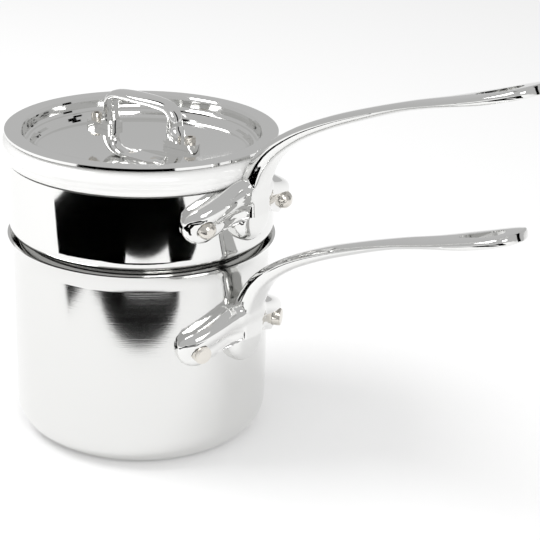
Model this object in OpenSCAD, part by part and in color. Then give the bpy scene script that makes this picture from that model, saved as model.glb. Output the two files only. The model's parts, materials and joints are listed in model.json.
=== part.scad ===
// Double boiler for the stovetop, drawn in millimetres with Z up.
// A flared saucepan holds the water. A collar ring with its own handle sits in
// the mouth of the pan, a porcelain insert hangs in the collar, and a lid with
// a two part cast handle closes the insert. Both long handles point along +X.
// The base of the pan stands on Z = 0 with its centre at the origin.

/* [Pan] */
// Outside diameter of the straight wall of the pan
pan_d = 125.2; // [112:0.2:150]
// Thickness of the layered wall and floor of the pan
pan_wall = 2.6; // [1.6:0.1:3.2]
// Height of the pan from the base to the pouring lip
pan_h = 100.4; // [88:0.2:125]
// Outside radius of the rounded corner at the base
base_corner_r = 13.4; // [6:0.2:20]
// How far the pouring lip flares out past the wall
lip_flare = 2.8; // [1.6:0.1:4]
// Thickness of the pouring lip at its edge
lip_edge = 1.4; // [1:0.1:2]

/* [Collar ring] */
// Height of the ring that shows above the pan
collar_show = 37.8; // [34:0.2:52]
// Thickness of the sheet the ring is made from
collar_wall = 1.6; // [1.2:0.1:2.2]
// Outside radius of the ring past the outside of the pan wall
collar_step = 1.9; // [1.2:0.1:2.6]
// Outside radius of the shoulder turned in at the foot of the ring
shoulder_r = 6.5; // [4.5:0.1:8]
// Length of the skirt that reaches down inside the pan
skirt_len = 7.5; // [5:0.5:14]

/* [Porcelain insert] */
// Height of the rolled rim above the ring
rim_h = 12.2; // [10:0.2:15]
// Radius of the outer roll of the rim
rim_roll = 5.6; // [5:0.1:6]
// How far the rim bulges past the ring
rim_bulge = 2.7; // [1.6:0.1:3.4]
// Thickness of the porcelain wall
bowl_wall = 3.8; // [3:0.1:5]
// Depth of the insert from the rim to the floor inside
bowl_depth = 112; // [90:1:118]
// Radius of the rounded corner at the foot of the insert
bowl_corner_r = 20; // [12:0.5:26]

/* [Lid] */
// Thickness of the lid sheet
lid_t = 1.2; // [0.8:0.1:1.6]
// Width of the flat flange of the lid
lid_flange = 8.2; // [6.8:0.1:9]
// Depth of the first step below the flange
lid_step = 6.4; // [5:0.1:7.5]
// Depth of the edge of the dished panel below the flange
lid_panel = 10.4; // [9:0.1:12]
// Further fall of the dished panel towards its middle
lid_dish = 6.8; // [4:0.1:8]

/* [Lid handle] */
// Height of the bow above the joint of the two castings
bow_rise = 20.4; // [17:0.2:26]
// Distance from the middle of the lid to each screw
screw_x = 30; // [28:0.2:34]
// Thickness of each screw lug
lug_t = 2.8; // [2.2:0.1:3.4]
// Height of the joint of the two castings above the foot
joint_rise = 12.6; // [11.6:0.2:15]
// Diameter of the lid screws
screw_d = 3; // [2.5:0.1:4]

/* [Long handles] */
// Reach of each handle past the wall it is riveted to
handle_reach = 143.4; // [110:0.2:190]
// Rise of the handle end above the rivets
handle_rise = 86.8; // [70:0.2:100]
// Distance from the middle of the bracket to each rivet
rivet_side = 26.2; // [24:0.1:29]
// Height of the pan rivets above the base
pan_rivet_z = 61.8; // [56:0.2:72]
// Height of the ring rivets above the foot of the ring
collar_rivet_rise = 23; // [21:0.2:30]
// Width of the stalk where it leaves the bracket
stalk_w = 14; // [12:0.1:16]
// Width of the handle end around the hanging hole
end_w = 24; // [20:0.1:28]
// Width of the hanging hole at its wide end
hole_w = 11; // [8:0.1:13]
// Height of the bracket face over the wall at the middle
shield_h = 9.4; // [8:0.1:10.5]
// Thickness of the bracket at the rivets
lobe_h = 5; // [4:0.1:6]

/* [Rivets] */
// Diameter of the rivet shanks
rivet_d = 5; // [4:0.1:6]
// Diameter of the rivet heads outside
rivet_head_d = 8.6; // [7.5:0.1:10]
// Height of the rivet heads on the pan
pan_head_h = 4; // [3:0.1:5]
// Height of the domed rivet heads on the ring
collar_head_h = 5; // [4:0.1:6]

/* [Hidden] */
eps = 0.02;
seat_gap = 0.3;
$fn = 96;
pan_r = pan_d / 2;
pan_in = pan_r - pan_wall;
lip_r = pan_r + lip_flare;
lip_rise = 8.4 * lip_flare / 2.8;
flare_out_r = (lip_rise * lip_rise + lip_flare * lip_flare) / (2 * lip_flare);
flare_in_x = lip_flare + pan_wall - lip_edge;
flare_in_z = lip_rise + 2;
flare_in_r = (flare_in_z * flare_in_z + flare_in_x * flare_in_x) / (2 * flare_in_x);
flare_foot = pan_h - flare_in_z;
collar_r = pan_r + collar_step;
collar_in = collar_r - collar_wall;
collar_top = pan_h + collar_show;
seat_r = pan_in + 0.6;
skirt_r = pan_in - seat_gap;
seat_z = flare_foot + sqrt(pow(flare_in_r, 2) - pow(flare_in_r - 0.6, 2)) + seat_gap;
shoulder_z = pan_h + 0.5 + shoulder_r;
skirt_z = flare_foot - skirt_len + 5.5;
collar_rivet_z = pan_h + collar_rivet_rise;
rim_foot = collar_top + seat_gap;
rim_top = collar_top + seat_gap + rim_h;
rim_r = collar_r + rim_bulge;
mouth_r = rim_r - 7.9;
bowl_r = skirt_r - collar_wall - 0.9;
bowl_in = bowl_r - bowl_wall;
bowl_floor = rim_top - bowl_depth;
bowl_foot = bowl_floor - bowl_wall - 0.4;
lid_top = rim_top + seat_gap + lid_t;
lid_r = collar_r + 0.9;
flange_in = lid_r - lid_flange;
dish_top = lid_top - lid_panel - lid_dish;
dish_r = flange_in - 5.8;
dish_flat = 15;
foot_t = 2.8;
foot_rivet_x = 7;
joint_z = dish_top + joint_rise;
steel = [0.78, 0.78, 0.77];
brushed = [0.72, 0.72, 0.71];
nickel = [0.74, 0.7, 0.64];
china = [0.96, 0.96, 0.95];

// Angle of a rivet from the handle on a wall of the given radius
function rivet_angle(wall_r) = asin(rivet_side / wall_r);

// Smooth curve through four values at the given fraction between the middle two
function curve(a, b, c, d, t) = 0.5 * ((2 * b) + (c - a) * t
    + (2 * a - 5 * b + 4 * c - d) * t * t
    + (3 * b - a - 3 * c + d) * t * t * t);

// Row of a table of stations, read at a fractional row number
function row(table, k) = let(
    n = len(table) - 1,
    i = min(floor(k), n - 1),
    t = k - i,
    p = table[max(i - 1, 0)],
    q = table[i],
    r = table[i + 1],
    s = table[min(i + 2, n)])
    [for (j = [0 : len(q) - 1]) curve(p[j], q[j], r[j], s[j], t)];

// Height of one side of a bar section, from 1 on the centre to 0 at the edge
function side(y, n, m) = pow(max(0, 1 - pow(abs(y), n)), 1 / m);

// Points of a bar section, widest at half height, as pairs across and up
function section(w, up, down, n, m, count) = concat(
    [for (i = [0 : count]) let(y = cos(180 * i / count))
        [y * w / 2, up * side(y, n, m)]],
    [for (i = [1 : count - 1]) let(y = -cos(180 * i / count))
        [y * w / 2, -down * side(y, n, m)]]);

// Solid skin over a list of rings that all have the same number of points
module skin(rings) {
    count = len(rings[0]);
    last = len(rings) - 1;
    points = [for (ring = rings) for (p = ring) p];
    sides = [for (i = [0 : last - 1]) for (j = [0 : count - 1])
        [i * count + j, (i + 1) * count + j,
        (i + 1) * count + (j + 1) % count, i * count + (j + 1) % count]];
    first_cap = [for (j = [0 : count - 1]) j];
    last_cap = [for (j = [count - 1 : -1 : 0]) last * count + j];
    polyhedron(points, concat(sides, [first_cap, last_cap]), convexity = 6);
}

// Part of a disc right of its own centre line at x
module half_disc(x, z, r) {
    intersection() {
        translate([x, z]) circle(r);
        translate([x, z - r - 1]) square([r + 2, 2 * r + 2]);
    }
}

// Solid cup outline with a rounded foot corner, drawn right of the axis
module cup(r, foot, top, corner) {
    translate([0, foot]) square([r - corner, corner + eps]);
    translate([0, foot + corner]) square([r, top - foot - corner]);
    intersection() {
        translate([r - corner, foot + corner]) circle(corner);
        translate([0, foot]) square([r, corner + eps]);
    }
}

// Flared lip of the pan, drawn in section
module lip_section() {
    difference() {
        intersection() {
            translate([pan_in + flare_in_r, flare_foot]) circle(flare_in_r);
            union() {
                translate([pan_in - 1, flare_foot]) square([pan_wall + 1, 2 + eps]);
                translate([pan_in - 1, flare_foot + 2]) square([pan_wall + lip_flare + 1, lip_rise]);
            }
        }
        translate([pan_r + flare_out_r, pan_h - lip_rise]) circle(flare_out_r);
    }
}

// Holes for the two rivets of a bracket on a wall of the given radius
module rivet_bores(wall_r, z) {
    for (s = [-1, 1]) {
        rotate([0, 0, s * rivet_angle(wall_r)]) translate([wall_r - 12, 0, z]) rotate([0, 90, 0])
            cylinder(d = rivet_d, h = 34);
    }
}

// Spot faces on a bracket that the heads of its rivets sit in
module rivet_seats(wall_r, z) {
    for (s = [-1, 1]) {
        rotate([0, 0, s * rivet_angle(wall_r)]) translate([wall_r + lobe_h - 0.6, 0, z]) rotate([0, 90, 0])
            cylinder(d = rivet_head_d + 0.4, h = 20);
    }
}

module pan_body() {
    color(brushed) difference() {
        rotate_extrude() {
            difference() {
                cup(pan_r, 0, flare_foot + eps, base_corner_r);
                cup(pan_in, pan_wall, pan_h, base_corner_r - pan_wall);
            }
            lip_section();
        }
        rivet_bores(pan_r, pan_rivet_z);
    }
}

// Stations along the stalk: share of the reach, share of the rise, width,
// thickness, and two numbers that set how square the section is
stalk_rows = [
    [0.032, 0.023, stalk_w + 1, shield_h - 0.4, 5, 5],
    [0.035, 0.184, stalk_w + 1, shield_h - 0.4, 5, 5],
    [0.087, 0.363, stalk_w, 8, 5, 4],
    [0.19, 0.505, stalk_w - 0.6, 6.6, 4, 2.6],
    [0.314, 0.613, stalk_w - 0.6, 5.7, 3.4, 1.9],
    [0.447, 0.703, stalk_w - 0.4, 4.9, 3, 1.5],
    [0.586, 0.786, stalk_w + 1, 4, 3, 1.4],
    [0.726, 0.853, (stalk_w + end_w) / 2 - 0.4, 3.9, 3.4, 1.7],
    [0.865, 0.922, end_w, 4.3, 6, 3],
    [1, 1, end_w, 4.2, 8, 4]];
stalk_parts = 34;
round_parts = 9;
round_start = 8.42;

// Place, direction and section of the stalk at a fractional station
function stalk_at(k) = let(
    a = row(stalk_rows, k),
    b = row(stalk_rows, min(k + 0.02, 9)),
    c = row(stalk_rows, max(k - 0.02, 0)),
    dx = (b[0] - c[0]) * handle_reach,
    dz = (b[1] - c[1]) * handle_rise,
    l = norm([dx, dz]))
    [a[0] * handle_reach, a[1] * handle_rise, -dz / l, dx / l, a[2], a[3], a[4], a[5]];

// Ring of points around the stalk at one station, narrowed by the given share
function stalk_ring(wall_r, z, k, narrow) = let(s = stalk_at(k))
    [for (p = section(s[4] * narrow, s[5] * 0.42, s[5] * 0.58, s[6], s[7], 10))
        [wall_r + s[0] + s[2] * (p[1] + s[5] * 0.08), p[0], z + s[1] + s[3] * (p[1] + s[5] * 0.08)]];

module stalk(wall_r, z) {
    skin(concat(
        [for (i = [0 : stalk_parts]) stalk_ring(wall_r, z, i * round_start / stalk_parts, 1)],
        [for (i = [1 : round_parts]) let(a = 88 * i / round_parts)
            stalk_ring(wall_r, z, round_start + (9 - round_start) * sin(a) / sin(88), cos(a))]));
}

// Distance from a point to a tapered bar with round ends, less its radius
function bar(p, a, b, ra, rb) = let(
    t = max(0, min(1, ((p - a) * (b - a)) / ((b - a) * (b - a)))))
    norm(p - a - t * (b - a)) - ra - (rb - ra) * t;

// Two distances joined with a soft fillet of size k
function soft(a, b, k) = let(h = max(k - abs(a - b), 0) / k) min(a, b) - h * h * k / 4;

// Outline of the bracket on the unrolled wall: two arms and a tongue
function arm_u(wall_r) = rivet_angle(wall_r) * PI / 180 * wall_r;
function outline(p, u) = let(q = [abs(p[0]), p[1]]) soft(
    bar(q, [u + 1.2, 1.3], [9, 10], 9, 9),
    bar(q, [0, 11], [0, -1], 8.6, 11), 5);

// Height of the bracket over the wall before its edges are rounded
function relief(p, u) = let(
    q = [abs(p[0]), p[1]],
    ridge = bar(q, [u + 2, 5], [8, 13.2], 0, 0) / 6.6,
    tongue = bar(q, [0, 17], [0, -0.5], 9.4, 11.4) / 11 + 1,
    face = (shield_h - 3.2) + 3.2 * max(0, min(1, (p[1] + 12) / 26)),
    low = lobe_h,
    mid = ridge < 1 ? 8.2 * sqrt(1 - ridge * ridge) : 0,
    high = tongue < 1 ? face * pow(1 - pow(tongue, 5), 0.4) : 0)
    pow(pow(low, 7) + pow(mid, 7) + pow(high, 7), 1 / 7);

// Distance from the centre of the bracket to its outline along one ray
function reach(u, a, lo, hi, n) = n == 0 ? lo : let(
    m = (lo + hi) / 2)
    outline([m * cos(a), 6 + m * sin(a)], u) < 0 ? reach(u, a, m, hi, n - 1) : reach(u, a, lo, m, n - 1);

bracket_rays = 84;
bracket_rings = [0.12, 0.24, 0.36, 0.48, 0.58, 0.67, 0.75, 0.82, 0.88, 0.93, 0.97, 1];

// Point over the wall at a place on the unrolled bracket
function on_wall(wall_r, z, p, h) = let(a = p[0] / wall_r * 180 / PI)
    [(wall_r + h) * cos(a), (wall_r + h) * sin(a), z + p[1]];

// Height with the edge rounded over
function eased(p, u) = let(e = max(0, min(1, -outline(p, u) / 3.2)))
    relief(p, u) * (0.5 + 0.5 * sqrt(1 - (1 - e) * (1 - e)));

module bracket(wall_r, z) {
    u = arm_u(wall_r);
    rays = [for (i = [0 : bracket_rays - 1]) let(a = 360 * i / bracket_rays) [a, reach(u, a, 0, 60, 22)]];
    last = len(bracket_rings) - 1;
    flat = [for (f = bracket_rings) for (r = rays) [f * r[1] * cos(r[0]), 6 + f * r[1] * sin(r[0])]];
    face = [for (p = flat) on_wall(wall_r, z, p, eased(p, u))];
    back = [for (r = rays) on_wall(wall_r, z, [r[1] * cos(r[0]), 6 + r[1] * sin(r[0])], -2)];
    points = concat(face, back, [on_wall(wall_r, z, [0, 6], relief([0, 6], u)), [wall_r - 14, 0, z + 6]]);
    top = len(points) - 2;
    n = bracket_rays;
    fan = [for (j = [0 : n - 1]) [top, (j + 1) % n, j]];
    mesh = [for (i = [0 : last - 1]) for (j = [0 : n - 1])
        each [[i * n + j, i * n + (j + 1) % n, (i + 1) * n + (j + 1) % n],
        [i * n + j, (i + 1) * n + (j + 1) % n, (i + 1) * n + j]]];
    wall = [for (j = [0 : n - 1])
        [last * n + j, last * n + (j + 1) % n, (last + 1) * n + (j + 1) % n, (last + 1) * n + j]];
    foot = [for (j = [0 : n - 1]) [top + 1, (last + 1) * n + j, (last + 1) * n + (j + 1) % n]];
    polyhedron(points, concat(fan, mesh, wall, foot), convexity = 8);
}

// Hanging hole with a wide outer end and a narrow inner end
module hanging_hole(wall_r, z) {
    s = stalk_at(8.2);
    tilt = atan2(s[3], -s[2]) - 90;
    translate([wall_r + s[0], 0, z + s[1]]) rotate([0, tilt, 0]) translate([0, 0, -10]) linear_extrude(20) {
        translate([2.5, 0]) circle(d = hole_w);
        translate([-11, 0]) circle(d = hole_w * 0.42);
        polygon([[-11.3, -hole_w * 0.2], [-11.3, hole_w * 0.2], [1.6, hole_w * 0.49], [1.6, -hole_w * 0.49]]);
    }
}

module long_handle(wall_r, z) {
    difference() {
        union() {
            bracket(wall_r, z);
            stalk(wall_r, z);
        }
        translate([0, 0, z - 40]) cylinder(r = wall_r, h = 90, $fn = 180);
        rivet_bores(wall_r, z);
        rivet_seats(wall_r, z);
        hanging_hole(wall_r, z);
    }
}

module pan_handle() {
    color(steel) long_handle(pan_r, pan_rivet_z);
}

// Rivet along +X from its foot, with the outside head left to the caller
module rivet_stem(wall_in, head_x) {
    intersection() {
        translate([wall_in - 1.3, 0, 0]) rotate([0, 90, 0]) cylinder(d = rivet_d + 5, h = 4);
        translate([0, 0, -10]) cylinder(r = wall_in, h = 20, $fn = 180);
    }
    translate([wall_in - 0.5, 0, 0]) rotate([0, 90, 0]) cylinder(d = rivet_d, h = head_x - wall_in + 1);
}

module pan_rivet(s) {
    x = pan_r + lobe_h;
    color(nickel) rotate([0, 0, s * rivet_angle(pan_r)]) translate([0, 0, pan_rivet_z]) {
        rivet_stem(pan_in, x);
        translate([x - 0.6, 0, 0]) rotate([0, 90, 0]) rotate_extrude() {
            intersection() {
                union() {
                    square([rivet_head_d / 2, pan_head_h]);
                    translate([0, pan_head_h - 0.4]) square([rivet_head_d / 2 - 0.4, 0.9]);
                }
                translate([0, pan_head_h - 24]) circle(24.6);
            }
        }
    }
}

module pan_rivet_left() {
    pan_rivet(-1);
}

module pan_rivet_right() {
    pan_rivet(1);
}

module collar_ring() {
    color(steel) difference() {
        rotate_extrude() difference() {
            union() {
                translate([0, shoulder_z - eps]) square([collar_r, collar_top - shoulder_z + eps]);
                translate([collar_r - shoulder_r, shoulder_z]) circle(shoulder_r);
                translate([0, seat_z]) square([seat_r, shoulder_z - seat_z]);
                translate([0, skirt_z]) square([skirt_r, shoulder_z - skirt_z]);
            }
            translate([0, shoulder_z]) square([collar_in, collar_top]);
            translate([collar_r - shoulder_r, shoulder_z]) circle(shoulder_r - collar_wall);
            translate([-1, skirt_z - 1]) square([skirt_r - collar_wall + 1, 60]);
            translate([-9, -9]) square([9, 400]);
        }
        rivet_bores(collar_r, collar_rivet_z);
    }
}

// The root of this handle is relieved so that the rim of the insert clears it
module collar_handle() {
    color(steel) difference() {
        long_handle(collar_r, collar_rivet_z);
        translate([0, 0, collar_top]) cylinder(r = rim_r + seat_gap, h = 60, $fn = 180);
    }
}

module collar_rivet(s) {
    x = collar_r + lobe_h;
    color(nickel) rotate([0, 0, s * rivet_angle(collar_r)]) translate([0, 0, collar_rivet_z]) {
        rivet_stem(collar_in, x);
        translate([x - 0.6, 0, 0]) rotate([0, 90, 0]) rotate_extrude() {
            square([rivet_head_d / 2, collar_head_h * 0.5]);
            intersection() {
                translate([0, collar_head_h * 0.5 - 0.9]) circle(r = rivet_head_d / 2 + 0.09);
                square([rivet_head_d / 2, collar_head_h + 0.6]);
            }
        }
    }
}

module collar_rivet_left() {
    collar_rivet(-1);
}

module collar_rivet_right() {
    collar_rivet(1);
}

// Rolled rim of the insert, drawn in section
module rim_section() {
    half_disc(rim_r - rim_roll, rim_top - rim_roll, rim_roll);
    half_disc(rim_r - 4.3, rim_foot + 4, 4);
    translate([mouth_r + 2.5, rim_top - 2.5]) circle(2.5);
    translate([mouth_r, rim_foot]) square([2.5, rim_h - 2.5]);
    translate([mouth_r + 2.4, rim_foot]) square([rim_r - 4.3 - mouth_r - 2.4, rim_h]);
}

// Outside of the hanging bowl, drawn solid to the axis
module bowl_outside() {
    neck = collar_top - 7;
    polygon([[0, bowl_foot + bowl_corner_r], [bowl_r, bowl_foot + bowl_corner_r], [bowl_r, neck - 19],
        [bowl_r + 0.4, neck - 14], [bowl_r + 1.2, neck - 9], [bowl_r + 2.4, neck - 5], [collar_in - 1.6, neck - 1.6],
        [collar_in - 0.5, neck], [collar_in - 0.5, rim_foot + eps], [0, rim_foot + eps]]);
    cup(bowl_r, bowl_foot, bowl_foot + bowl_corner_r + 1, bowl_corner_r);
}

// Inside of the bowl, drawn solid to the axis
module bowl_inside() {
    fall = rim_top - 9;
    polygon([[0, bowl_floor + bowl_corner_r - 3], [bowl_in, bowl_floor + bowl_corner_r - 3], [bowl_in, fall - 26],
        [bowl_in + 0.25, fall - 20], [bowl_in + 0.9, fall - 14], [bowl_in + 2, fall - 8.5], [mouth_r - 1.6, fall - 4.5],
        [mouth_r - 0.4, fall - 1.6], [mouth_r, fall + 1], [mouth_r, rim_top - 2.5], [0, rim_top - 2.5]]);
    cup(bowl_in, bowl_floor, bowl_floor + bowl_corner_r, bowl_corner_r - 3);
    translate([0, rim_top - 2.5 - eps]) square([mouth_r + 2.5, 4]);
}

module insert_bowl() {
    color(china) rotate_extrude() {
        difference() {
            bowl_outside();
            bowl_inside();
        }
        difference() {
            rim_section();
            translate([-9, 0]) square([mouth_r + 9, 400]);
        }
    }
}

// Top line of the lid from the middle outwards
function lid_line() = concat(
    [[0, dish_top]],
    [for (i = [0 : 12]) let(f = i / 12) [dish_flat + (dish_r - dish_flat) * f, dish_top + lid_dish * pow(f, 1.7)]],
    [[dish_r + 0.7, lid_top - lid_panel + 0.5], [dish_r + 1.2, lid_top - lid_panel + 1.4],
    [dish_r + 1.7, lid_top - lid_step - 1.3], [dish_r + 2.2, lid_top - lid_step - 0.5], [dish_r + 3, lid_top - lid_step - 0.1],
    [flange_in - 1.6, lid_top - lid_step + 0.1], [flange_in - 1, lid_top - lid_step + 0.6],
    [flange_in - 0.7, lid_top - lid_step + 1.4], [flange_in - 0.25, lid_top - 1.5], [flange_in + 0.1, lid_top - 0.6],
    [flange_in + 0.8, lid_top], [lid_r, lid_top]]);

// Line moved square to itself towards its underside
function under(line, t) = [for (i = [0 : len(line) - 1]) let(
    a = line[max(i - 1, 0)],
    b = line[min(i + 1, len(line) - 1)],
    d = (b - a) / norm(b - a))
    [i == 0 ? 0 : line[i][0] + d[1] * t, line[i][1] - d[0] * t]];

module lid_plate() {
    line = lid_line();
    low = under(line, lid_t);
    n = len(line) - 1;
    color(steel) difference() {
        rotate_extrude() polygon(concat(line, [for (i = [n : -1 : 0]) low[i]]));
        for (s = [-1, 1]) {
            translate([s * foot_rivet_x, 0, dish_top - 5]) cylinder(d = screw_d, h = 10);
        }
    }
}

// Stations of half the bow: across, up from the joint, width, thickness
bow_rows = [
    [-1, -0.4, 9.5, 8.6],
    [-0.97, 0.2, 9, 8],
    [-0.94, 0.42, 8.4, 6.2],
    [-0.93, 0.66, 8.2, 5.4],
    [-0.78, 0.84, 8.8, 5],
    [-0.42, 0.9, 10.6, 4.6],
    [0, 0.91, 12, 4.4],
    [0.42, 0.9, 10.6, 4.6],
    [0.78, 0.84, 8.8, 5],
    [0.93, 0.66, 8.2, 5.4],
    [0.94, 0.42, 8.4, 6.2],
    [0.97, 0.2, 9, 8],
    [1, -0.4, 9.5, 8.6]];

// Stations of the base: across, up from the foot, width, thickness
base_rows = [
    [-1, 1.3, 9.4, 8.6],
    [-0.97, 0.8, 8.6, 8],
    [-0.93, 0.5, 7.8, 7.2],
    [-0.8, 0.25, 7.6, 5.2],
    [-0.56, 0.13, 8.4, 3.6],
    [0, 0.11, 11.4, 2.8],
    [0.56, 0.13, 8.4, 3.6],
    [0.8, 0.25, 7.6, 5.2],
    [0.93, 0.5, 7.8, 7.2],
    [0.97, 0.8, 8.6, 8],
    [1, 1.3, 9.4, 8.6]];
loop_x = screw_x - 8.4;

// Ring of points around a lid bar at a fractional station
function loop_ring(table, k, z0, tall, n, m) = let(
    last = len(table) - 1,
    a = row(table, k),
    b = row(table, min(k + 0.05, last)),
    c = row(table, max(k - 0.05, 0)),
    dx = (b[0] - c[0]) * loop_x,
    dz = (b[1] - c[1]) * tall,
    l = norm([dx, dz]))
    [for (p = section(a[2], a[3] / 2, a[3] / 2, n, m, 8))
        [a[0] * loop_x - dz / l * p[1], p[0], z0 + a[1] * tall + dx / l * p[1]]];

// Lug with a round end that carries one screw
module lug(s, z) {
    translate([0, 0, z]) linear_extrude(lug_t) {
        translate([s * screw_x, 0]) circle(r = 4.7);
        polygon([[s * (screw_x + 0.6), -4.66], [s * (screw_x + 0.6), 4.66], [s * (loop_x - 3), 5.6], [s * (loop_x - 4.6), 4.4],
            [s * (loop_x - 4.6), -4.4], [s * (loop_x - 3), -5.6]]);
    }
}

module lid_handle_bow() {
    color(steel) difference() {
        union() {
            intersection() {
                skin([for (i = [0 : 48]) loop_ring(bow_rows, i * 12 / 48, joint_z, bow_rise, 3, 2.2)]);
                translate([-60, -30, joint_z + 0.05]) cube([120, 60, 60]);
            }
            lug(-1, joint_z + 0.05);
            lug(1, joint_z + 0.05);
        }
        for (s = [-1, 1]) {
            translate([s * screw_x, 0, joint_z - 10]) cylinder(d = screw_d, h = 20);
        }
    }
}

module lid_handle_base() {
    color(steel) difference() {
        union() {
            intersection() {
                skin([for (i = [0 : 40]) loop_ring(base_rows, i * 10 / 40, dish_top, joint_rise, 3, 2.2)]);
                translate([-60, -30, dish_top]) cube([120, 60, joint_rise]);
            }
            lug(-1, joint_z - lug_t);
            lug(1, joint_z - lug_t);
            translate([0, 0, dish_top]) linear_extrude(foot_t) {
                translate([-7, 0]) circle(r = 5.6);
                translate([7, 0]) circle(r = 5.6);
                translate([-7, -5.6]) square([14, 11.2]);
            }
        }
        for (s = [-1, 1]) {
            translate([s * screw_x, 0, joint_z - 10]) cylinder(d = screw_d, h = 20);
            translate([s * foot_rivet_x, 0, dish_top - 5]) cylinder(d = screw_d, h = 12);
        }
    }
}

// Socket head screw that pulls the two castings together
module lid_screw(s) {
    top = joint_z + 0.05 + lug_t;
    color(nickel) translate([s * screw_x, 0, 0]) difference() {
        union() {
            translate([0, 0, joint_z - lug_t - 2.9]) cylinder(d = screw_d, h = lug_t * 2 + 3.2);
            translate([0, 0, top]) rotate_extrude() {
                square([screw_d * 0.9, screw_d * 0.87]);
                square([screw_d * 0.82, screw_d]);
            }
        }
        translate([0, 0, top + screw_d * 0.4]) cylinder(d = screw_d * 0.96, h = 6, $fn = 6);
    }
}

module lid_screw_left() {
    lid_screw(-1);
}

module lid_screw_right() {
    lid_screw(1);
}

// Nut under the lug, its corners turned off at the free end
module lid_nut(s) {
    color(nickel) translate([s * screw_x, 0, joint_z - lug_t - 2.4]) difference() {
        intersection() {
            cylinder(d = screw_d * 2.05, h = 2.4, $fn = 6);
            rotate_extrude() polygon([[0, 0], [screw_d * 0.84, 0], [screw_d * 1.05, 0.8], [screw_d * 1.05, 2.4], [0, 2.4]]);
        }
        translate([0, 0, -1]) cylinder(d = screw_d, h = 5);
    }
}

module lid_nut_left() {
    lid_nut(-1);
}

module lid_nut_right() {
    lid_nut(1);
}

// Flush rivet through the foot of the base and the panel of the lid
module lid_rivet(s) {
    color(nickel) translate([s * foot_rivet_x, 0, 0]) {
        translate([0, 0, dish_top - lid_t - 0.2]) cylinder(d = screw_d, h = foot_t + lid_t + 0.3);
        translate([0, 0, dish_top - lid_t]) mirror([0, 0, 1]) rotate_extrude() intersection() {
            translate([0, -4.6]) circle(5.8);
            square([3.4, 2]);
        }
    }
}

module lid_rivet_left() {
    lid_rivet(-1);
}

module lid_rivet_right() {
    lid_rivet(1);
}

pan_body();
pan_handle();
pan_rivet_left();
pan_rivet_right();
collar_ring();
collar_handle();
collar_rivet_left();
collar_rivet_right();
insert_bowl();
lid_plate();
lid_handle_base();
lid_handle_bow();
lid_screw_left();
lid_screw_right();
lid_nut_left();
lid_nut_right();
lid_rivet_left();
lid_rivet_right();
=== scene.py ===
"""Double boiler: finishes, smooth castings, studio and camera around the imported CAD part.

Every piece of the object comes from the CAD. The four castings are shown as merged
smooth copies of their own nodes, and all other nodes are shown as they are.
Lengths are in metres, and angles are in degrees unless a comment says otherwise.
"""

import json
import logging
import math
from dataclasses import dataclass
from enum import Enum

import bpy
from mathutils import Matrix, Vector

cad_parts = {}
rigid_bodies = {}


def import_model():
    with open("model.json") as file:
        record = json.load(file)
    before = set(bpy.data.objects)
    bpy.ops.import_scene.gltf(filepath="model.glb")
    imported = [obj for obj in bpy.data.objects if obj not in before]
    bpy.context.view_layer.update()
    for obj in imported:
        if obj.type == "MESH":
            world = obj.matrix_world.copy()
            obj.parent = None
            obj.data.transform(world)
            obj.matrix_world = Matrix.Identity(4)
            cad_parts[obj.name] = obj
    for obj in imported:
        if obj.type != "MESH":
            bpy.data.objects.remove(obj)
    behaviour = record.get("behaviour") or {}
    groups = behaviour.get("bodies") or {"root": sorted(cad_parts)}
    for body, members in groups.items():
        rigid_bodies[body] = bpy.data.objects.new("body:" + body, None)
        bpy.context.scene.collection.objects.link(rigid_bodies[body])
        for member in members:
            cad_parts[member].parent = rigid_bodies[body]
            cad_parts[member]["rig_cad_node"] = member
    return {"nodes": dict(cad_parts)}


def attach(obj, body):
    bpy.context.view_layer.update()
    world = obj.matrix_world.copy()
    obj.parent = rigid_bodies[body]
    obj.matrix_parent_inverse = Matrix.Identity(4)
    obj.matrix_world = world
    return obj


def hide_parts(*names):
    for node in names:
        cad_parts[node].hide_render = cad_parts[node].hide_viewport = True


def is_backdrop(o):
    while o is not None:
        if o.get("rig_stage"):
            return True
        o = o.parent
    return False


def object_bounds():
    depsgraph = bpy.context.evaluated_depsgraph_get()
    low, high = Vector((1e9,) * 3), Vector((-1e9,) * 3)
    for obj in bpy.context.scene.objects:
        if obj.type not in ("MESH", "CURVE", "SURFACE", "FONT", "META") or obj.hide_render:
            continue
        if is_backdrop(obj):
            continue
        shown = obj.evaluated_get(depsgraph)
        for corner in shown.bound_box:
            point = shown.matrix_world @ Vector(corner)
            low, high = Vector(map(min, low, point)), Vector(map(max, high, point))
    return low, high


LOG = logging.getLogger("double_boiler")

Triple = tuple[float, float, float]

EVEN: Triple = (1.0, 1.0, 1.0)
MIDDLE_OF_NOISE = 0.5
GRAIN_DETAIL = 4.0
GRAIN_DEPTH = 0.0002
GLAZE_NOISE_SIZE = 60.0
GLAZE_NOISE_DETAIL = 2.0

SMOOTH_NAME = "_smooth"
MERGE_DISTANCE = 0.000005
SMOOTH_ANGLE = 60.0

FLAT: Triple = (0.0, 0.0, 0.0)
BLACK: Triple = (0.0, 0.0, 0.0)
TOWARDS_CAMERA: Triple = (0.0, 0.0, -48.0)
CARD_ROUGHNESS = 0.9
LAMP_AIM: Triple = (0.03, 0.0, 0.08)

WORLD_STRENGTH = 0.72
WORLD_CAMERA_GAIN = 0.35
WORLD_GLOSSY_LOSS = 0.2


class Slot(Enum):
    """Material slots of the record."""

    PAN = "pan_steel"
    POLISHED = "polished_steel"
    RIVET = "rivet_metal"
    PORCELAIN = "porcelain"


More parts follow.
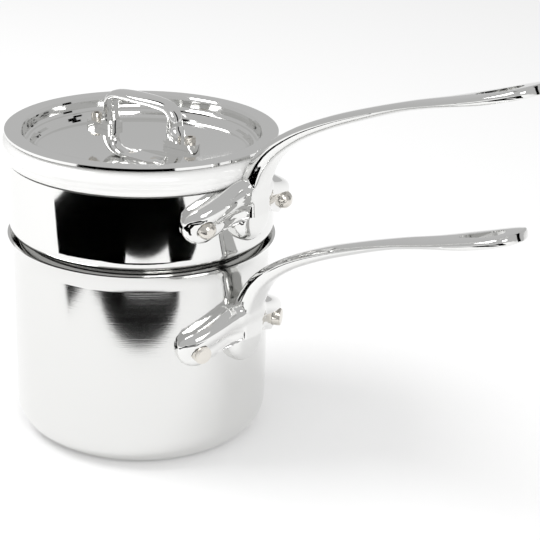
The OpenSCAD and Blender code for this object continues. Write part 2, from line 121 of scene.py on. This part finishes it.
@dataclass(frozen=True)
class Value:
    """An output socket that can be combined with numbers and other sockets."""

    tree: bpy.types.NodeTree
    socket: bpy.types.NodeSocket

    def combine(self, operation: str, other: "Value | float") -> "Value":
        """Adds a Math node.

        Args:
            operation: Name of the Math node's operation.
            other: The second operand.

        Returns:
            The result of the operation.
        """
        node = self.tree.nodes.new("ShaderNodeMath")
        node.operation = operation
        self.tree.links.new(self.socket, node.inputs[0])
        if isinstance(other, Value):
            self.tree.links.new(other.socket, node.inputs[1])
        else:
            node.inputs[1].default_value = other
        return Value(self.tree, node.outputs[0])

    def __add__(self, other: "Value | float") -> "Value":
        return self.combine("ADD", other)

    def __sub__(self, other: "Value | float") -> "Value":
        return self.combine("SUBTRACT", other)

    def __mul__(self, other: "Value | float") -> "Value":
        return self.combine("MULTIPLY", other)


class Paint:
    """A procedural material in object coordinates."""

    def __init__(self, name: str) -> None:
        self.material = bpy.data.materials.new(name)
        self.material.use_nodes = True
        self.tree = self.material.node_tree
        self.shader = self.tree.nodes["Principled BSDF"]

    def noise(self, stretch: Triple, size: float, detail: float) -> Value:
        """Adds a noise texture.

        Args:
            stretch: Scale of the object coordinates along each axis.
            size: Scale of the noise.
            detail: Number of octaves.

        Returns:
            The noise, from 0 to 1.
        """
        place = self.tree.nodes.new("ShaderNodeTexCoord")
        mapping = self.tree.nodes.new("ShaderNodeMapping")
        mapping.inputs["Scale"].default_value = stretch
        texture = self.tree.nodes.new("ShaderNodeTexNoise")
        texture.inputs["Scale"].default_value = size
        texture.inputs["Detail"].default_value = detail
        self.tree.links.new(place.outputs["Object"], mapping.inputs["Vector"])
        self.tree.links.new(mapping.outputs["Vector"], texture.inputs["Vector"])
        return Value(self.tree, texture.outputs["Fac"])

    def drive(self, name: str, value: Value) -> None:
        """Links a varying value into a socket of the shader."""
        self.tree.links.new(value.socket, self.shader.inputs[name])

    def bump(self, height: Value, strength: float, distance: float) -> None:
        """Lets a height change the shading normal.

        Args:
            height: The height, from 0 to 1.
            strength: Strength of the bump node.
            distance: Depth that a height of 1 stands for.
        """
        node = self.tree.nodes.new("ShaderNodeBump")
        node.inputs["Strength"].default_value = strength
        node.inputs["Distance"].default_value = distance
        self.tree.links.new(height.socket, node.inputs["Height"])
        self.tree.links.new(node.outputs["Normal"], self.shader.inputs["Normal"])


@dataclass(frozen=True)
class Steel:
    """A bare metal finish with fine wear in its roughness and relief."""

    name: str
    color: Triple
    roughness: float
    wear: float
    grain_size: float
    relief: float
    stretch: Triple = EVEN

    def paint(self) -> bpy.types.Material:
        """Builds the material.

        Returns:
            The new material.
        """
        paint = Paint(self.name)
        paint.shader.inputs["Base Color"].default_value = (*self.color, 1.0)
        paint.shader.inputs["Metallic"].default_value = 1.0
        grain = paint.noise(self.stretch, self.grain_size, GRAIN_DETAIL)
        paint.drive("Roughness", (grain - MIDDLE_OF_NOISE) * self.wear + self.roughness)
        paint.bump(grain, self.relief, GRAIN_DEPTH)
        return paint.material


@dataclass(frozen=True)
class Glaze:
    """A glossy white ceramic glaze."""

    name: str
    color: Triple
    roughness: float
    unevenness: float = 0.06
    coat: float = 0.6
    coat_roughness: float = 0.04

    def paint(self) -> bpy.types.Material:
        """Builds the material.

        Returns:
            The new material.
        """
        paint = Paint(self.name)
        paint.shader.inputs["Base Color"].default_value = (*self.color, 1.0)
        paint.shader.inputs["Coat Weight"].default_value = self.coat
        paint.shader.inputs["Coat Roughness"].default_value = self.coat_roughness
        flow = paint.noise(EVEN, GLAZE_NOISE_SIZE, GLAZE_NOISE_DETAIL)
        paint.drive("Roughness", flow * self.unevenness + self.roughness)
        return paint.material


# The grain of the pan is drawn out around its wall, as brushing leaves it
FINISHES = {
    Slot.PAN: Steel(
        "pan_steel",
        color=(0.78, 0.78, 0.77),
        roughness=0.1,
        wear=0.08,
        grain_size=3.0,
        relief=0.05,
        stretch=(2.0, 2.0, 900.0),
    ),
    Slot.POLISHED: Steel(
        "polished_steel",
        color=(0.84, 0.84, 0.83),
        roughness=0.05,
        wear=0.04,
        grain_size=90.0,
        relief=0.02,
    ),
    Slot.RIVET: Steel(
        "rivet_metal",
        color=(0.76, 0.73, 0.68),
        roughness=0.22,
        wear=0.10,
        grain_size=400.0,
        relief=0.05,
    ),
    Slot.PORCELAIN: Glaze("porcelain", color=(0.90, 0.90, 0.89), roughness=0.08),
}


@dataclass(frozen=True)
class Assembly:
    """One body of the boiler: the slot of each node, and which nodes are castings."""

    body: str
    slots: dict[str, Slot]
    castings: tuple[str, ...] = ()

    def build(self, nodes: dict[str, bpy.types.Object]) -> None:
        """Makes the smooth copies that stand for the castings, and adds them to the nodes.

        Args:
            nodes: CAD nodes by name.
        """
        for name in self.castings:
            source = nodes[name]
            bpy.ops.object.select_all(action="DESELECT")
            source.select_set(True)
            bpy.context.view_layer.objects.active = source
            bpy.ops.object.duplicate()
            copy = bpy.context.view_layer.objects.active
            copy.name = name + SMOOTH_NAME
            copy.data.name = copy.name
            del copy["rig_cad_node"]
            bpy.ops.object.mode_set(mode="EDIT")
            bpy.ops.mesh.select_all(action="SELECT")
            bpy.ops.mesh.remove_doubles(threshold=MERGE_DISTANCE)
            bpy.ops.object.mode_set(mode="OBJECT")
            bpy.ops.mesh.customdata_custom_splitnormals_clear()
            bpy.ops.object.shade_smooth_by_angle(angle=math.radians(SMOOTH_ANGLE))
            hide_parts(name)
            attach(copy, self.body)
            nodes[copy.name] = copy
            LOG.info("%s stands for %s", copy.name, name)

    def dress(
        self, nodes: dict[str, bpy.types.Object], paints: dict[Slot, bpy.types.Material]
    ) -> None:
        """Gives every shown piece its finish.

        Args:
            nodes: CAD nodes and copies by name.
            paints: Materials by slot.
        """
        for name, slot in self.slots.items():
            piece = nodes[name + SMOOTH_NAME if name in self.castings else name]
            piece.data.materials.clear()
            piece.data.materials.append(paints[slot])
            LOG.info("%s: %s", piece.name, slot.value)


def both(stem: str, slot: Slot) -> dict[str, Slot]:
    """Names the left and the right piece of a pair, both with the same slot."""
    return {stem + "_left": slot, stem + "_right": slot}


ASSEMBLIES = (
    Assembly(
        "pan",
        {"pan_body": Slot.PAN, "pan_handle": Slot.POLISHED, **both("pan_rivet", Slot.RIVET)},
        castings=("pan_handle",),
    ),
    Assembly(
        "collar",
        {
            "collar_ring": Slot.POLISHED,
            "collar_handle": Slot.POLISHED,
            **both("collar_rivet", Slot.RIVET),
        },
        castings=("collar_handle",),
    ),
    Assembly("insert", {"insert_bowl": Slot.PORCELAIN}),
    Assembly(
        "lid",
        {
            "lid_plate": Slot.POLISHED,
            "lid_handle_base": Slot.POLISHED,
            "lid_handle_bow": Slot.POLISHED,
            **both("lid_screw", Slot.RIVET),
            **both("lid_nut", Slot.RIVET),
            **both("lid_rivet", Slot.RIVET),
        },
        castings=("lid_handle_base", "lid_handle_bow"),
    ),
)


@dataclass(frozen=True)
class Camera:
    """The camera of the photograph, fitted to the round edges of the pan, collar, rim and lid.

    Yaw, pitch and roll are in radians, in a frame that has the camera on its -Y side.
    The turn about Z then brings the camera into the part's own frame. Lens and sensor
    are in millimetres.
    """

    distance: float = 0.699
    height: float = 0.359764
    yaw: float = 0.0909
    pitch: float = 0.3815
    roll: float = 0.0344
    turn: float = 42.0
    lens: float = 100.65
    sensor: float = 36.0
    nearest: float = 0.02

    def place(self) -> None:
        """Adds the camera and makes it the scene's own."""
        forward = Vector(
            (
                math.sin(self.yaw) * math.cos(self.pitch),
                math.cos(self.yaw) * math.cos(self.pitch),
                -math.sin(self.pitch),
            )
        )
        level = Vector((math.cos(self.yaw), -math.sin(self.yaw), 0.0))
        above = level.cross(forward)
        right = math.cos(self.roll) * level + math.sin(self.roll) * above
        up = -math.sin(self.roll) * level + math.cos(self.roll) * above
        pose = Matrix((right, up, -forward)).transposed().to_4x4()
        pose.translation = Vector((0.0, -self.distance, self.height))
        bpy.ops.object.camera_add()
        camera = bpy.context.view_layer.objects.active
        camera.name = "photo_camera"
        camera.matrix_world = Matrix.Rotation(math.radians(self.turn), 4, "Z") @ pose
        camera.data.lens = self.lens
        camera.data.sensor_width = self.sensor
        camera.data.clip_start = self.nearest
        bpy.context.scene.camera = camera


@dataclass(frozen=True)
class Card:
    """A flat stage panel: a dark card that only reflections see, or a floor that everything sees."""

    name: str
    size: tuple[float, float]
    place: Triple
    turn: Triple = TOWARDS_CAMERA
    color: Triple = BLACK
    glow: float = 0.0
    seen: bool = False
    rounded: bool = False

    def build(self) -> None:
        """Adds the panel to the stage."""
        turn = tuple(math.radians(a) for a in self.turn)
        if self.rounded:
            bpy.ops.mesh.primitive_circle_add(
                vertices=64, radius=0.5, fill_type="NGON", location=self.place, rotation=turn
            )
        else:
            bpy.ops.mesh.primitive_plane_add(size=1.0, location=self.place, rotation=turn)
        card = bpy.context.view_layer.objects.active
        card.name = self.name
        card.scale = (*self.size, 1.0)
        paint = Paint(self.name)
        paint.shader.inputs["Base Color"].default_value = (*self.color, 1.0)
        paint.shader.inputs["Roughness"].default_value = CARD_ROUGHNESS
        paint.shader.inputs["Specular IOR Level"].default_value = 0.0
        paint.shader.inputs["Emission Color"].default_value = (*self.color, 1.0)
        paint.shader.inputs["Emission Strength"].default_value = self.glow
        card.data.materials.append(paint.material)
        card.visible_camera = self.seen
        card.visible_diffuse = self.seen
        card.visible_shadow = self.seen
        card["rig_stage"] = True
        LOG.info("stage: %s", card.name)


FLOOR = Card(
    "floor",
    size=(6.0, 6.0),
    place=(0.0, 0.0, -0.0002),
    turn=FLAT,
    color=(0.9, 0.9, 0.9),
    glow=0.12,
    seen=True,
)

# The first five lie on the floor on the camera's side. The first four show as the dark
# band on the collar, and the patch as the dark spot on the pan. The last two stand
# behind the object and over it, and give the castings and the lid their dark lines.
DARK_CARDS = (
    Card("dark_front", size=(1.0, 0.44), place=(0.562, -0.624, 0.001)),
    Card("dark_left", size=(0.6, 0.2), place=(0.051, -0.519, 0.001)),
    Card("dark_between", size=(0.2, 0.15), place=(0.103, -0.338, 0.001)),
    Card("dark_right", size=(0.14, 0.12), place=(0.355, -0.125, 0.001)),
    Card("dark_patch", size=(0.09, 0.30), place=(0.153, -0.192, 0.001), rounded=True),
    Card("dark_side", size=(0.25, 1.5), place=(1.1, 0.75, 0.7), turn=(90.0, 0.0, -50.0)),
    Card(
        "dark_high",
        size=(0.3, 1.4),
        place=(-0.75, 0.35, 1.5),
        turn=(35.0, -20.0, 40.0),
        color=(0.01, 0.01, 0.01),
    ),
)


@dataclass(frozen=True)
class Lamp:
    """A soft square lamp that points at the object, with its power in watts."""

    name: str
    place: Triple
    size: float
    power: float

    def build(self) -> None:
        """Adds the lamp to the stage."""
        bpy.ops.object.light_add(type="AREA", location=self.place)
        lamp = bpy.context.view_layer.objects.active
        lamp.name = self.name
        lamp.data.size = self.size
        lamp.data.energy = self.power
        aim = Vector(LAMP_AIM) - Vector(self.place)
        lamp.rotation_euler = aim.to_track_quat("-Z", "Y").to_euler()
        lamp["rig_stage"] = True
        LOG.info("stage: %s", lamp.name)


LAMPS = (
    Lamp("key_lamp", place=(-0.7, -0.5, 1.3), size=0.7, power=9.0),
    Lamp("fill_lamp", place=(1.1, -0.7, 0.9), size=0.6, power=5.0),
)


def white_world() -> None:
    """Makes a surround that is white to the camera and dimmer to diffuse and glossy rays."""
    world = bpy.data.worlds.new("white_surround")
    bpy.context.scene.world = world
    world.use_nodes = True
    tree = world.node_tree
    background = tree.nodes["Background"]
    background.inputs["Color"].default_value = (1.0, 1.0, 1.0, 1.0)
    path = tree.nodes.new("ShaderNodeLightPath")
    camera = Value(tree, path.outputs["Is Camera Ray"])
    glossy = Value(tree, path.outputs["Is Glossy Ray"])
    strength = (camera * WORLD_CAMERA_GAIN - glossy * WORLD_GLOSSY_LOSS) + WORLD_STRENGTH
    tree.links.new(strength.socket, background.inputs["Strength"])


def measure() -> list[list[float]]:
    """Measures the shown object.

    Returns:
        Lowest and highest corner in metres.
    """
    bpy.context.view_layer.update()
    return [list(corner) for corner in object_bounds()]


def main() -> None:
    """Builds the boiler's pieces, then the stage, lamps, world and camera."""
    logging.basicConfig(level=logging.INFO, format="%(name)s: %(message)s")
    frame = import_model()
    before = measure()
    nodes = frame["nodes"]
    paints = {slot: finish.paint() for slot, finish in FINISHES.items()}
    for assembly in ASSEMBLIES:
        assembly.build(nodes)
        assembly.dress(nodes, paints)
    for card in (FLOOR, *DARK_CARDS):
        card.build()
    for lamp in LAMPS:
        lamp.build()
    white_world()
    Camera().place()
    bpy.context.scene.view_settings.view_transform = "Standard"
    after = measure()
    LOG.info("size at load %s, at finish %s", before, after)


if __name__ == "__main__":
    main()
